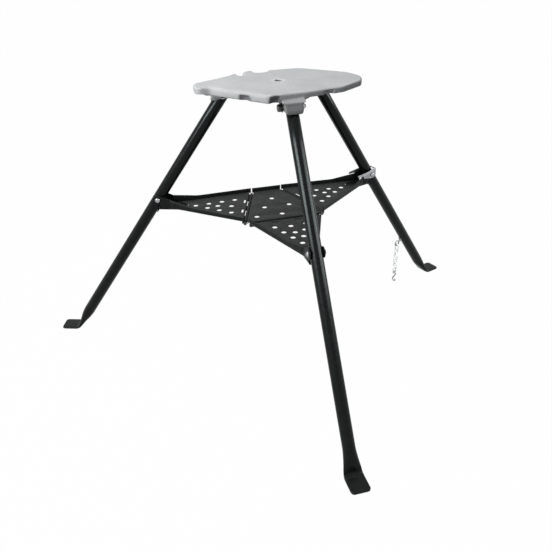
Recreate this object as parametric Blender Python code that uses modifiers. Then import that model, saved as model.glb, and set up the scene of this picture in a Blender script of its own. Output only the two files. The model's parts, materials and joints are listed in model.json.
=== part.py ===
"""Folding three-leg stand: cast top plate, tube legs, hinged perforated tray, chain.

Metres, +Z up, feet on the floor at zero. The front leg points to -Y.
Each leg, wing and bolt is drawn once in a local frame whose X axis points outward
along the leg and whose Y axis runs across it, then turned to the leg's direction.
"""
from math import acos, atan, atan2, cos, hypot, pi, radians, sin, tan

import bmesh
import bpy
from mathutils import Matrix, Vector

# Clearance between pieces that touch
GAP = 0.0003

# Stand layout
PLATE_TOP = 0.777
PIVOT_DROP = 0.038
PIN_R = 0.335
PIN_Z = 0.443
LEG_TILT = radians(34.0)
REAR_AZ = radians(19.0)

# Leg tube and its flattened foot
TUBE_R = 0.015875
TUBE_WALL = 0.0025
TUBE_OVER = 0.010
FOOT_PINCH = 0.001
FOOT_REACH = 0.059
KNEE_Z = 0.014
PINCH_RISE = 0.055

# Top plate outline: corner x, corner y, corner radius, clockwise from the left end
PLATE_H = 0.021
PLATE_WEB = 0.009
PLATE_RIM = 0.010
PLATE_EDGE = 0.004
PLATE_CORNERS = (
    (-0.214, -0.036, 0.018),
    (-0.214, 0.010, 0.022),
    (-0.058, 0.088, 0.012),
    (0.090, 0.088, 0.060),
    (0.196, 0.002, 0.060),
    (0.216, -0.050, 0.050),
    (0.196, -0.092, 0.030),
    (0.134, -0.134, 0.040),
    (0.030, -0.153, 0.080),
    (-0.062, -0.158, 0.022),
    (-0.178, -0.040, 0.020),
)
HUB_XY = (0.0, -0.026)
HUB_R = 0.028
HOLE_R = 0.0095
RIB_T = 0.008
# Rim notches: x, y, radius, depth of their top below the plate's top
RIM_NOTCHES = (
    (-0.1136, -0.115, 0.013, 0.0045),
    (-0.046, -0.163, 0.0145, 0.005),
    (0.0944, -0.149, 0.0165, 0.004),
    (-0.208, -0.046, 0.009, 0.007),
    (-0.079, 0.075, 0.013, -0.002),
    (-0.0205, 0.091, 0.025, -0.002),
)
# Shallower rim at the plate's ends: x where it starts and where it is full, its depth
RIM_ENDS = (
    (0.026, 0.042, 0.0145),
    (-0.186, -0.196, 0.0165),
)

# Leg sockets cast under the plate
SOCKET_CHEEK = 0.0063
SOCKET_FLARE = 0.0065
SOCKET_LIP = 0.0025
SOCKET_WALL = 0.006
SOCKET_BACK = 0.036
SOCKET_BELOW = 0.0135
SOCKET_SHOULDER = 0.011

# Pivot bolts
BOLT_R = 0.005
BOLT_AF = 0.017
HEAD_H = 0.009
NUT_H = 0.0065
BOLT_END = 0.0012
WASHER_R = 0.0105
WASHER_T = 0.0016

# Tray sheets
SHEET = 0.002
TRAY_DROP = 0.023
FLANGE_H = 0.0135
NOSE_H = 0.025
NOSE_BACK = 0.035
NOSE_RISE = 0.068
HINGE_R = 0.082
SEAM = 0.0006
EDGE_BACK = 0.001
WING_HALF = 0.103
EAR_CLEAR = 0.0012
EAR_T = 0.0025
EAR_R = 0.014
SLOT_LEN = 0.082

# Tray hinges
HINGE_DROP = 0.0075
KNUCKLE_R = 0.0045
KNUCKLE_LEN = 0.030
KNUCKLE_PITCH = 0.065
KNUCKLE_GAP = 0.0005
HINGE_PIN_R = 0.0025
PIN_HEAD = 0.0012
PIN_END = 0.0033

# Tray holes: a row of holes from the nose, spreading in a V, and a middle row
TRAY_HOLE_R = 0.0078
ROW_BACK = 0.1035
ROW_STEP = 0.0353
ROW_SPREAD = 0.01435
MID_STEPS = (0.0625, 0.1015)
CENTRE_PITCH = 0.072
CENTRE_ROWS = (0.060, 0.006, -0.048)
VENT_LEN = 0.026
VENT_W = 0.007
VENT_OUT = 0.011
VENT_SIDE = 0.0325

# Tray pivot screws
SCREW_R = 0.004
SCREW_HEAD_R = 0.0068
SCREW_HEAD_H = 0.0045

# Strap over the right leg
STRAP_T = 0.0025
STRAP_IN = 0.0335
STRAP_BACK = 0.0128
STRAP_OVER = 0.0185
STRAP_LOW = 0.010
STRAP_TONGUE = 0.022

# Rest bracket on each leg, under the slot in the wing's nose
REST_DROP = 0.0022
REST_T = 0.0025
REST_SIDE = 0.0011
REST_FOOT = 0.030
REST_FOOT_HALF = 0.010

# Chain
WIRE_R = 0.0022
EYE_R = 0.008
EYE_STEM = 0.008
EYE_PAD_T = 0.0025
EYE_PAD_LEN = 0.018
EYE_PAD_W = 0.012
LINK_BEND = 0.0065
LINK_STRAIGHT = 0.0095
LINK_GAP = 0.0004
LINK_COUNT = 6
HOOK_BEND = 0.006
HOOK_CLEAR = 0.005

# Derived layout
PIVOT_Z = PLATE_TOP - PIVOT_DROP
PLATE_LOW = PLATE_TOP - PLATE_H
TRAY_Z = PIN_Z - TRAY_DROP
HINGE_Z = TRAY_Z - HINGE_DROP
WING_END = PIN_R - NOSE_BACK
SLOT_END = PIN_R - SLOT_LEN
ROW_TIP = PIN_R - ROW_BACK
TUBE_SIDE = TUBE_R + GAP
EAR_IN = TUBE_R + EAR_CLEAR
EAR_OUT = EAR_IN + EAR_T
SOCKET_HALF = TUBE_SIDE + SOCKET_CHEEK
FOOT_T = 2 * TUBE_WALL + FOOT_PINCH
FOOT_HALF = pi * TUBE_R / 2 - TUBE_WALL / 5
EDGE_TURN = atan((WING_HALF - EAR_OUT) / (WING_END - HINGE_R))
LEG_DIR = Vector((sin(LEG_TILT), 0.0, -cos(LEG_TILT)))
LEG_OUT = Vector((cos(LEG_TILT), 0.0, sin(LEG_TILT)))
AZIMUTH = {"front": -pi / 2, "left": pi - REAR_AZ, "right": REAR_AZ}
SIDES = tuple(AZIMUTH)
BITE = 2 * WIRE_R + LINK_GAP
LINK_STEP = LINK_STRAIGHT + 2 * LINK_BEND - BITE
HOOK_REACH = 2 * HOOK_BEND * cos(pi / 6)
HOOK_DROP = 3 * HOOK_BEND + HOOK_REACH * tan(pi / 3)
EYE_OUT = TUBE_SIDE + EYE_PAD_T + EYE_STEM + EYE_R
CHAIN_DROP = EYE_R - BITE + LINK_COUNT * LINK_STEP + HOOK_DROP + WIRE_R
EYE_Z = HOOK_CLEAR + CHAIN_DROP + EYE_OUT * sin(LEG_TILT)


def leg_u(z):
    """Distance of the leg's axis from the stand's axis at a height."""
    return PIN_R + (PIN_Z - z) * tan(LEG_TILT)


PIVOT_U = leg_u(PIVOT_Z)
PIVOT = Vector((PIVOT_U, 0.0, PIVOT_Z))
HINGE = Vector((HINGE_R, 0.0, HINGE_Z))
PIN = Vector((PIN_R, 0.0, PIN_Z))


def edge_half(u):
    """Half width of a wing at its turned-up edge."""
    return WING_HALF - (u - HINGE_R) * tan(EDGE_TURN)


def wipe():
    for item in list(bpy.data.objects):
        bpy.data.objects.remove(item, do_unlink=True)


def material(name, colour, metallic, roughness):
    mat = bpy.data.materials.new(name)
    mat.use_nodes = True
    shader = mat.node_tree.nodes["Principled BSDF"]
    shader.inputs["Base Color"].default_value = (*colour, 1.0)
    shader.inputs["Metallic"].default_value = metallic
    shader.inputs["Roughness"].default_value = roughness
    mat.diffuse_color = (*colour, 1.0)
    return mat


def collection(name):
    found = bpy.data.collections.get(name)
    if found is None:
        found = bpy.data.collections.new(name)
        bpy.context.scene.collection.children.link(found)
    return found


def join_flat_faces(bm):
    bmesh.ops.dissolve_limit(bm, angle_limit=0.0005, verts=bm.verts[:], edges=bm.edges[:])


def finished(bm):
    """A mesh from a bmesh: welded, with its faces pointing out."""
    bmesh.ops.remove_doubles(bm, verts=bm.verts[:], dist=0.00001)
    bmesh.ops.recalc_face_normals(bm, faces=bm.faces[:])
    mesh = bpy.data.meshes.new("solid")
    bm.to_mesh(mesh)
    bm.free()
    return mesh


def evaluated(item):
    """The mesh of an object with its modifiers; the object is used up."""
    bpy.context.scene.collection.objects.link(item)
    graph = bpy.context.evaluated_depsgraph_get()
    mesh = bpy.data.meshes.new_from_object(item.evaluated_get(graph))
    bpy.data.objects.remove(item, do_unlink=True)
    bm = bmesh.new()
    bm.from_mesh(mesh)
    bpy.data.meshes.remove(mesh)
    return bm


def block(x0, x1, y0, y1, z0, z1):
    bm = bmesh.new()
    middle = Vector(((x0 + x1) / 2, (y0 + y1) / 2, (z0 + z1) / 2))
    size = Matrix.Diagonal((x1 - x0, y1 - y0, z1 - z0, 1.0))
    bmesh.ops.create_cube(bm, size=1.0, matrix=Matrix.Translation(middle) @ size)
    return finished(bm)


def rod(start, end, radius, sides=18):
    bm = bmesh.new()
    along = end - start
    turn = along.to_track_quat("Z", "Y").to_matrix().to_4x4()
    place = Matrix.Translation((start + end) / 2) @ turn
    bmesh.ops.create_cone(bm, cap_ends=True, segments=sides, radius1=radius, radius2=radius,
                          depth=along.length, matrix=place)
    return finished(bm)


def cross_rod(at, radius, low, high, sides=18):
    """A rod across the leg, between two Y values."""
    return rod(Vector((at.x, low, at.z)), Vector((at.x, high, at.z)), radius, sides)


def slab(outlines, thick, place):
    """A flat outline with its holes as a filled 2D curve of a thickness, put in place."""
    curve = bpy.data.curves.new("outline", "CURVE")
    curve.dimensions = "2D"
    curve.fill_mode = "BOTH"
    curve.extrude = thick / 2
    for outline in outlines:
        spline = curve.splines.new("POLY")
        spline.points.add(len(outline) - 1)
        for point, (x, y) in zip(spline.points, outline):
            point.co = (x, y, 0.0, 1.0)
        spline.use_cyclic_u = True
    bm = evaluated(bpy.data.objects.new("outline", curve))
    bm.transform(place)
    bmesh.ops.remove_doubles(bm, verts=bm.verts[:], dist=0.00001)
    join_flat_faces(bm)
    return finished(bm)


def flat(outline, low, high, holes=()):
    """A level slab between two heights."""
    return slab([outline, *holes], high - low, Matrix.Translation((0, 0, (low + high) / 2)))


def upright(outline, low, high):
    """A slab whose outline is in X and Z, between two Y values."""
    stand = Matrix.Rotation(pi / 2, 4, "X")
    return slab([outline], high - low, Matrix.Translation((0, (low + high) / 2, 0)) @ stand)


def wire(path, radius, closed):
    """A round wire along points, as a bevelled curve with caps."""
    curve = bpy.data.curves.new("wire", "CURVE")
    curve.dimensions = "3D"
    curve.bevel_depth = radius
    curve.bevel_resolution = 2
    curve.use_fill_caps = True
    spline = curve.splines.new("POLY")
    spline.points.add(len(path) - 1)
    for point, place in zip(spline.points, path):
        point.co = (*place, 1.0)
    spline.use_cyclic_u = closed
    return finished(evaluated(bpy.data.objects.new("wire", curve)))


def loft(rings):
    """A closed skin through unlike sections with the same number of points."""
    bm = bmesh.new()
    made = [[bm.verts.new(point) for point in ring] for ring in rings]
    for lower, upper in zip(made, made[1:]):
        for i in range(len(lower)):
            bm.faces.new((lower[i - 1], lower[i], upper[i], upper[i - 1]))
    bm.faces.new(made[0])
    bm.faces.new(made[-1])
    return finished(bm)


def circle(cx, cy, radius, count, start=0.0):
    turn = 2 * pi / count
    return [(cx + radius * cos(start + turn * i), cy + radius * sin(start + turn * i)) for i in range(count)]


def boolean(base, tool, operation):
    """Exact Boolean of two meshes; both are used up."""
    cutter = bpy.data.objects.new("cutter", tool)
    cutter.hide_render = True
    cutter.display_type = "WIRE"
    collection("cutters").objects.link(cutter)
    item = bpy.data.objects.new("work", base)
    mod = item.modifiers.new("boolean", "BOOLEAN")
    mod.object = cutter
    mod.operation = operation
    mod.solver = "EXACT"
    bm = evaluated(item)
    bpy.data.objects.remove(cutter, do_unlink=True)
    return finished(bm)


def add(base, *tools):
    for tool in tools:
        base = boolean(base, tool, "UNION")
    return base


def cut(base, *tools):
    for tool in tools:
        base = boolean(base, tool, "DIFFERENCE")
    return base


def bevelled(mesh, width):
    """The sharp edges of a mesh rounded."""
    item = bpy.data.objects.new("work", mesh)
    mod = item.modifiers.new("bevel", "BEVEL")
    mod.width = width
    mod.segments = 2
    mod.limit_method = "ANGLE"
    mod.angle_limit = radians(60.0)
    return finished(evaluated(item))


def turned(mesh, azimuth):
    mesh.transform(Matrix.Rotation(azimuth, 4, "Z"))
    return mesh


def keep(group, mesh, mat, origin, places):
    """Finished sub-parts that share a mesh: places gives each name its azimuth."""
    bm = bmesh.new()
    bm.from_mesh(mesh)
    join_flat_faces(bm)
    bm.to_mesh(mesh)
    bm.free()
    mesh.transform(Matrix.Translation(-Vector(origin)))
    mesh.materials.clear()
    mesh.materials.append(mat)
    mesh.shade_smooth()
    mesh.set_sharp_from_angle(angle=radians(32.0))
    for name, azimuth in places.items():
        item = bpy.data.objects.new(name, mesh)
        item.location = Matrix.Rotation(azimuth, 4, "Z") @ Vector(origin)
        item.rotation_euler = (0.0, 0.0, azimuth)
        group.objects.link(item)


def each(prefix):
    return {prefix + side: azimuth for side, azimuth in AZIMUTH.items()}


def rounded(corners, steps=5):
    """A closed outline with each corner rounded to its radius."""
    points = []
    total = len(corners)
    for i, (x, y, radius) in enumerate(corners):
        here = Vector((x, y))
        back = Vector(corners[i - 1][:2]) - here
        ahead = Vector(corners[(i + 1) % total][:2]) - here
        half = back.angle(ahead) / 2
        reach = min(radius / tan(half), 0.45 * back.length, 0.45 * ahead.length)
        bend = reach * tan(half)
        middle = here + (back.normalized() + ahead.normalized()).normalized() * (bend / sin(half))
        start = here + back.normalized() * reach - middle
        end = here + ahead.normalized() * reach - middle
        sweep = start.angle_signed(end)
        for k in range(steps + 1):
            points.append(tuple(middle + Matrix.Rotation(-sweep * k / steps, 2) @ start))
    return points


def inset(points, distance):
    """The outline moved inward, for an outline that runs clockwise."""
    moved = []
    total = len(points)
    for i, (x, y) in enumerate(points):
        bx, by = points[i - 1]
        ax, ay = points[(i + 1) % total]
        run = Vector((ax - bx, ay - by)).normalized()
        moved.append((x + run.y * distance, y - run.x * distance))
    return moved


def top_plate():
    """Cast plate: flat web, deep rounded rim, hub, ribs to the three leg sockets."""
    outline = rounded(PLATE_CORNERS)
    plate = bevelled(flat(outline, PLATE_LOW, PLATE_TOP), PLATE_EDGE)
    web = PLATE_TOP - PLATE_WEB
    plate = cut(plate, flat(inset(outline, PLATE_RIM), PLATE_LOW - PLATE_H, web))
    for start, full, depth in RIM_ENDS:
        plate = cut(plate, rim_relief(start, full, depth))
    hub_low = PLATE_LOW + 0.001
    plate = add(plate, flat(circle(*HUB_XY, HUB_R, 28), hub_low, web + 0.003))
    for azimuth in AZIMUTH.values():
        plate = add(plate, rib(azimuth, hub_low + 0.002, web + 0.002))
    for azimuth in AZIMUTH.values():
        plate = add(plate, turned(socket(), azimuth))
    reach = 2 * SOCKET_HALF
    for azimuth in AZIMUTH.values():
        plate = cut(plate, turned(socket_slot(), azimuth))
        plate = cut(plate, turned(cross_rod(PIVOT, BOLT_R + GAP, -reach, reach), azimuth))
    low, high = PLATE_LOW - PLATE_H, PLATE_TOP + PLATE_H
    plate = cut(plate, flat(circle(*HUB_XY, HOLE_R, 24), low, high))
    for x, y, radius, below in RIM_NOTCHES:
        plate = cut(plate, flat(circle(x, y, radius, 16, 0.1), low, PLATE_TOP - below))
    return plate


def rim_relief(start, full, depth):
    """Room cut from below, so the rim is shallower from a place to that end of the plate."""
    far = max(abs(corner[0]) for corner in PLATE_CORNERS) + PLATE_RIM
    reach = max(abs(corner[1]) for corner in PLATE_CORNERS) + PLATE_RIM
    if full < 0:
        far = -far
    under = PLATE_LOW - PLATE_H
    rise = PLATE_TOP - depth
    outline = ((start, under), (start, PLATE_LOW - GAP), (full, rise), (far, rise), (far, under))
    return upright(outline, -reach, reach)


def rib(azimuth, low, high):
    start = Vector(HUB_XY)
    end = Vector((cos(azimuth), sin(azimuth))) * (PIVOT_U - SOCKET_BACK + 0.006)
    along = (end - start).normalized()
    side = Vector((-along.y, along.x)) * (RIB_T / 2)
    corners = (start - side, end - side, end + side, start + side)
    return flat([tuple(corner) for corner in corners], low, high)


def socket():
    """A leg socket lofted through rectangles: height, inner X, outer X, half width."""
    outer = (TUBE_SIDE + SOCKET_WALL) / cos(LEG_TILT)
    face = PIVOT_U + outer
    back = PIVOT_U - SOCKET_BACK
    low = PIVOT_Z - SOCKET_BELOW
    shoulder = SOCKET_SHOULDER
    sections = (
        (PLATE_TOP - PLATE_WEB + 0.002, back, face - 0.012, SOCKET_HALF + 0.002),
        (PLATE_LOW - 0.001, back - 0.002, face, SOCKET_HALF + SOCKET_FLARE),
        (PIVOT_Z + shoulder, back + 0.002, face, SOCKET_HALF),
        (PIVOT_Z - shoulder, back + 0.010, face + shoulder * tan(LEG_TILT), SOCKET_HALF),
        (low, PIVOT_U - 0.006, leg_u(low) + outer, TUBE_SIDE + SOCKET_LIP),
    )
    rings = []
    for z, inner, out, half in sections:
        corners = ((inner, -half), (out, -half), (out, half), (inner, half))
        rings.append([Vector((u, v, z)) for u, v in corners])
    return loft(rings)


def socket_slot():
    """Room for the tube: the slot's outer wall is the stop of the spread leg."""
    stop = TUBE_SIDE / cos(LEG_TILT)
    swing = hypot(TUBE_OVER, TUBE_R)
    back = PIVOT_U - 2.5 * SOCKET_BACK
    low = PIVOT_Z - 4 * SOCKET_BELOW
    top = PIVOT_Z + swing + 0.002
    far = PIVOT_U + swing + 0.0008
    knee = PIVOT_Z - (far - PIVOT_U - stop) / tan(LEG_TILT)
    outline = ((back, low), (leg_u(low) + stop, low), (far, knee), (far, top), (back, top))
    return upright(outline, -TUBE_SIDE, TUBE_SIDE)


def leg():
    """Tube with a bore, pinched flat and bent outward at the foot."""
    top = PIVOT - LEG_DIR * TUBE_OVER
    half_t = FOOT_T / 2
    knee_u = leg_u(KNEE_Z)
    tip = knee_u + FOOT_REACH
    pinch_z = KNEE_Z + PINCH_RISE
    neck_z = KNEE_Z + 0.62 * PINCH_RISE
    waist_z = KNEE_Z + 0.30 * PINCH_RISE
    down = pi / 2 - LEG_TILT
    # Each station: centre X, centre Z, fall of the path, half width, half thickness, squareness
    stations = (
        (top.x, top.z, down, TUBE_R, TUBE_R, 2.0),
        (leg_u(pinch_z), pinch_z, down, TUBE_R, TUBE_R, 2.0),
        (leg_u(neck_z), neck_z, down, TUBE_R * 1.11, TUBE_R * 0.87, 2.05),
        (leg_u(waist_z), waist_z, down, TUBE_R * 1.27, TUBE_R * 0.63, 2.2),
        (leg_u(KNEE_Z + 0.004), KNEE_Z + 0.003, down * 0.8, TUBE_R * 1.4, TUBE_R * 0.42, 3.0),
        (knee_u + 0.004, KNEE_Z / 2, down * 0.45, FOOT_HALF - 0.0008, half_t * 1.25, 4.5),
        (knee_u + 0.013, half_t + 0.0003, down * 0.06, FOOT_HALF, half_t, 6.0),
        (knee_u + 0.017, half_t, 0.0, FOOT_HALF, half_t, 6.0),
        (tip - 0.006, half_t, 0.0, FOOT_HALF, half_t, 6.0),
        (tip - 0.0015, half_t, 0.0, FOOT_HALF - 0.0022, half_t, 6.0),
        (tip, half_t, 0.0, FOOT_HALF - 0.006, half_t, 6.0),
    )
    tube = loft([section(*station) for station in stations])
    bore_end = Vector((leg_u(pinch_z + TUBE_R), 0.0, pinch_z + TUBE_R))
    tube = cut(tube, rod(top - LEG_DIR * 0.01, bore_end, TUBE_R - TUBE_WALL, 24))
    return cut(tube, cross_rod(PIVOT, BOLT_R + GAP, -2 * TUBE_R, 2 * TUBE_R))


def section(u, z, fall, half, thick, square, sides=24):
    """A superellipse across the leg's path; a flattened one has true flat faces."""
    normal = Vector((sin(fall), 0.0, cos(fall)))
    ring = []
    for k in range(sides):
        c = cos(2 * pi * k / sides)
        s = sin(2 * pi * k / sides)
        wide = abs(c) ** (2 / square)
        rise = abs(s) ** (2 / square)
        if square > 5 and rise > 0.9:
            rise = 1.0
        across = half * wide * (1 if c >= 0 else -1)
        up = thick * rise * (1 if s >= 0 else -1)
        ring.append(Vector((u, across, z)) + normal * up)
    return ring


def pivot_bolts(group, steel):
    seat = SOCKET_HALF + GAP
    washer_top = seat + WASHER_T
    nut_low = washer_top + GAP
    nut_top = nut_low + NUT_H
    hex_r = BOLT_AF / 2 / cos(pi / 6)
    bore = BOLT_R + GAP
    bolt = cross_rod(PIVOT, hex_r, -seat - HEAD_H, -seat, 6)
    bolt = add(bolt, cross_rod(PIVOT, BOLT_R, -seat - HEAD_H / 2, nut_top + BOLT_END))
    keep(group, bolt, steel, PIVOT, each("pivot_bolt_"))
    through = cross_rod(PIVOT, bore, seat - NUT_H, washer_top + NUT_H)
    washer = cut(cross_rod(PIVOT, WASHER_R, seat, washer_top), through)
    keep(group, washer, steel, PIVOT, each("pivot_washer_"))
    through = cross_rod(PIVOT, bore, nut_low - NUT_H, nut_top + NUT_H)
    nut = cut(cross_rod(PIVOT, hex_r, nut_low, nut_top, 6), through)
    keep(group, nut, steel, PIVOT, each("pivot_nut_"))


def knuckles(middles, half, side):
    """Hinge barrels under the sheet, each with a web up to it on one side of the axis."""
    made = []
    near = HINGE_R + side * (SEAM + 0.0001)
    far = HINGE_R + side * (KNUCKLE_R - SHEET / 4)
    for middle in middles:
        low, high = middle - half, middle + half
        barrel = cross_rod(HINGE, KNUCKLE_R, low, high, 14)
        web = block(min(near, far), max(near, far), low + GAP, high - GAP,
                    HINGE_Z - KNUCKLE_R / 4, TRAY_Z - SHEET / 2)
        made.append(add(barrel, web))
    return made


def hinge_bore():
    reach = KNUCKLE_PITCH + KNUCKLE_LEN
    return cross_rod(HINGE, HINGE_PIN_R + GAP, -reach, reach, 12)


def tray_centre():
    """Middle sheet: hinge barrels on three edges, a turned-up rear edge, six holes."""
    front = HINGE_R - SEAM
    # Neighbouring hinge edges end at the wing's width or where they meet
    half = min(WING_HALF - EDGE_BACK, front * tan(pi / 4 + REAR_AZ / 2) - GAP)
    low = TRAY_Z - SHEET
    rear_half = front * cos(REAR_AZ) - half * sin(REAR_AZ)
    rear = front * sin(REAR_AZ) + half * cos(REAR_AZ)
    near = (front * cos(REAR_AZ) + half * sin(REAR_AZ), front * sin(REAR_AZ) - half * cos(REAR_AZ))
    right = [(half, -front), near, (rear_half, rear)]
    left = [(-x, y) for x, y in reversed(right)]
    plate = flat(right + left, low, TRAY_Z)
    plate = add(plate, block(-rear_half + 0.002, rear_half - 0.002, rear - SHEET - 0.0005, rear - 0.0005,
                             low + 0.0005, low + FLANGE_H))
    between = (KNUCKLE_PITCH - KNUCKLE_LEN) / 2 - KNUCKLE_GAP
    middles = (-KNUCKLE_PITCH / 2, KNUCKLE_PITCH / 2)
    for azimuth in AZIMUTH.values():
        for piece in knuckles(middles, between, -1):
            plate = add(plate, turned(piece, azimuth))
    for azimuth in AZIMUTH.values():
        plate = cut(plate, turned(hinge_bore(), azimuth))
    for row, y in enumerate(CENTRE_ROWS):
        for k in range(row + 1):
            hole = circle((k - row / 2) * CENTRE_PITCH, y, TRAY_HOLE_R, 16)
            plate = cut(plate, flat(hole, low - SHEET, TRAY_Z + SHEET))
    return plate


def wing():
    """Tray wing: slotted and perforated floor, turned-up edges, ears at the leg."""
    start = HINGE_R + SEAM
    end = WING_END - 0.0015
    low = TRAY_Z - SHEET
    slot = EAR_IN - 0.0001
    inner = SHEET / 2
    wide, narrow = edge_half(start) - inner, edge_half(end) - inner
    outline = [(start, wide), (start, -wide), (end, -narrow), (end, -slot)]
    for k in range(13):
        turn = -pi / 2 - pi * k / 12
        outline.append((SLOT_END + slot + slot * cos(turn), slot * sin(turn)))
    outline += [(end, slot), (end, narrow)]
    spots = [(ROW_TIP, 0.0)] + [(ROW_TIP - step, 0.0) for step in MID_STEPS]
    for row in (1, 2, 3):
        spots += [(ROW_TIP - row * ROW_STEP, row * ROW_SPREAD), (ROW_TIP - row * ROW_STEP, -row * ROW_SPREAD)]
    holes = [circle(u, v, TRAY_HOLE_R, 16) for u, v in spots]
    for v in (-VENT_SIDE, VENT_SIDE):
        u0 = HINGE_R + VENT_OUT - VENT_W / 2
        v0 = v - VENT_LEN / 2
        holes.append([(u0, v0), (u0 + VENT_W, v0), (u0 + VENT_W, v0 + VENT_LEN), (u0, v0 + VENT_LEN)])
    sheet = flat(outline, low, TRAY_Z, holes)
    for side in (1, -1):
        sheet = add(sheet, turned_edge(side), ear(side))
    middles = (-KNUCKLE_PITCH, 0.0, KNUCKLE_PITCH)
    sheet = add(sheet, *knuckles(middles, KNUCKLE_LEN / 2, 1))
    sheet = cut(sheet, hinge_bore())
    return cut(sheet, cross_rod(PIN, SCREW_R + GAP, -2 * EAR_OUT, 2 * EAR_OUT, 14))


def turned_edge(side):
    """A turned-up edge: its side view rises to the nose, and it runs along the wing's taper."""
    along = 1 / cos(EDGE_TURN)
    first = (SEAM + 0.004) * along
    last = (WING_END + 0.0005 - HINGE_R) * along
    rise_from = (WING_END - NOSE_RISE - HINGE_R) * along
    outline = ((first, 0.0003), (last, 0.0003), (last, NOSE_H), (rise_from, FLANGE_H), (first, FLANGE_H))
    lip = upright(outline, min(0.0, -side * SHEET), max(0.0, -side * SHEET))
    place = Matrix.Translation((HINGE_R, side * WING_HALF, TRAY_Z - SHEET))
    lip.transform(place @ Matrix.Rotation(-side * EDGE_TURN, 4, "Z"))
    return lip


def ear(side):
    """The ear's side view: up from the turned edge, round the pivot, back along the bottom."""
    low = TRAY_Z - SHEET
    heel = WING_END - 0.004
    rise = low + NOSE_H - 0.0005
    points = [(heel, low + 0.0006), (heel, rise)]
    base = atan2(rise + 0.0005 - PIN_Z, heel - PIN_R)
    start = base - acos(EAR_R / hypot(PIN_R - heel, PIN_Z - low - NOSE_H))
    if start < 0:
        start += 2 * pi
    finish = -pi / 2 - 0.25
    for k in range(15):
        turn = start + (finish - start) * k / 14
        points.append((PIN_R + EAR_R * cos(turn), PIN_Z + EAR_R * sin(turn)))
    points.append((PIN_R - 0.018, low + 0.0006))
    return upright(points, min(side * EAR_IN, side * EAR_OUT), max(side * EAR_IN, side * EAR_OUT))


def hinge_pin():
    reach = KNUCKLE_PITCH + KNUCKLE_LEN / 2 + PIN_END
    pin = cross_rod(HINGE, HINGE_PIN_R, -reach, reach, 12)
    return add(pin, cross_rod(HINGE, HINGE_PIN_R + PIN_HEAD, -reach - 0.0002, -reach + PIN_END - GAP, 12))


def tray_screw(side, seat):
    """A screw from outside the ear to the tube's surface."""
    tip = side * TUBE_SIDE
    top = side * (seat + SCREW_HEAD_H)
    seat = side * seat
    inside = seat + side * 0.001
    shank = cross_rod(PIN, SCREW_R, min(tip, inside), max(tip, inside), 14)
    return add(cross_rod(PIN, SCREW_HEAD_R, min(seat, top), max(seat, top), 20), shank)


def tray_screws(group, zinc, steel):
    """Bright heads face the front of the stand, dark ones the back."""
    plain = EAR_OUT + GAP
    strapped = plain + STRAP_T + GAP
    for side in SIDES:
        toward = 1 if side == "left" else -1
        seat = strapped if side == "right" else plain
        place = {"tray_screw_%s_near" % side: AZIMUTH[side]}
        keep(group, tray_screw(toward, seat), zinc, PIN, place)
        place = {"tray_screw_%s_far" % side: AZIMUTH[side]}
        keep(group, tray_screw(-toward, seat), steel, PIN, place)


def rest_bracket():
    """Angle on the leg's inner face: the wing's nose sits above it when the stand is open."""
    top = TRAY_Z - SHEET - REST_DROP
    low = top - REST_T
    face = TUBE_SIDE / cos(LEG_TILT)
    thick = REST_T / cos(LEG_TILT)
    inner = SLOT_END + 0.004
    half = EAR_IN - REST_SIDE
    outer = face + GAP
    shelf = ((inner, top), (leg_u(top) - outer, top), (leg_u(low) - outer, low), (inner, low))
    head = top - REST_T / 2
    foot = top - REST_FOOT
    leaf = ((leg_u(head) - face, head), (leg_u(foot) - face, foot),
            (leg_u(foot) - face - thick, foot), (leg_u(head) - face - thick, head))
    return add(upright(shelf, -half, half), upright(leaf, -REST_FOOT_HALF, REST_FOOT_HALF))


def strap():
    """Stirrup over the right leg: two arms on the ears and a bridge above the leg."""
    back = PIN_R + STRAP_BACK
    over = PIN_Z + STRAP_OVER
    low = PIN_Z - STRAP_LOW
    tongue = PIN_R - STRAP_IN - STRAP_TONGUE
    above_lip = TRAY_Z - SHEET + NOSE_H + 0.0012
    arm = (
        (PIN_R - STRAP_IN, PIN_Z - 0.006), (PIN_R - STRAP_IN, above_lip), (tongue, above_lip),
        (tongue, above_lip + 0.006), (PIN_R - STRAP_IN, above_lip + 0.0085), (PIN_R - 0.010, PIN_Z + 0.013),
        (back - 0.008, over), (back, over), (back, PIN_Z - 0.003), (PIN_R + 0.006, low), (PIN_R - 0.008, low),
    )
    inner = EAR_OUT + GAP
    outer = inner + STRAP_T
    bridge = block(back - STRAP_T - 0.0003, back - 0.0003, 0.0004 - outer, outer - 0.0004,
                   over - STRAP_T, over - 0.0004)
    body = add(upright(arm, inner, outer), bridge, upright(arm, -outer, -inner))
    return cut(body, cross_rod(PIN, SCREW_R + GAP, -2 * outer, 2 * outer, 14))


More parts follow.
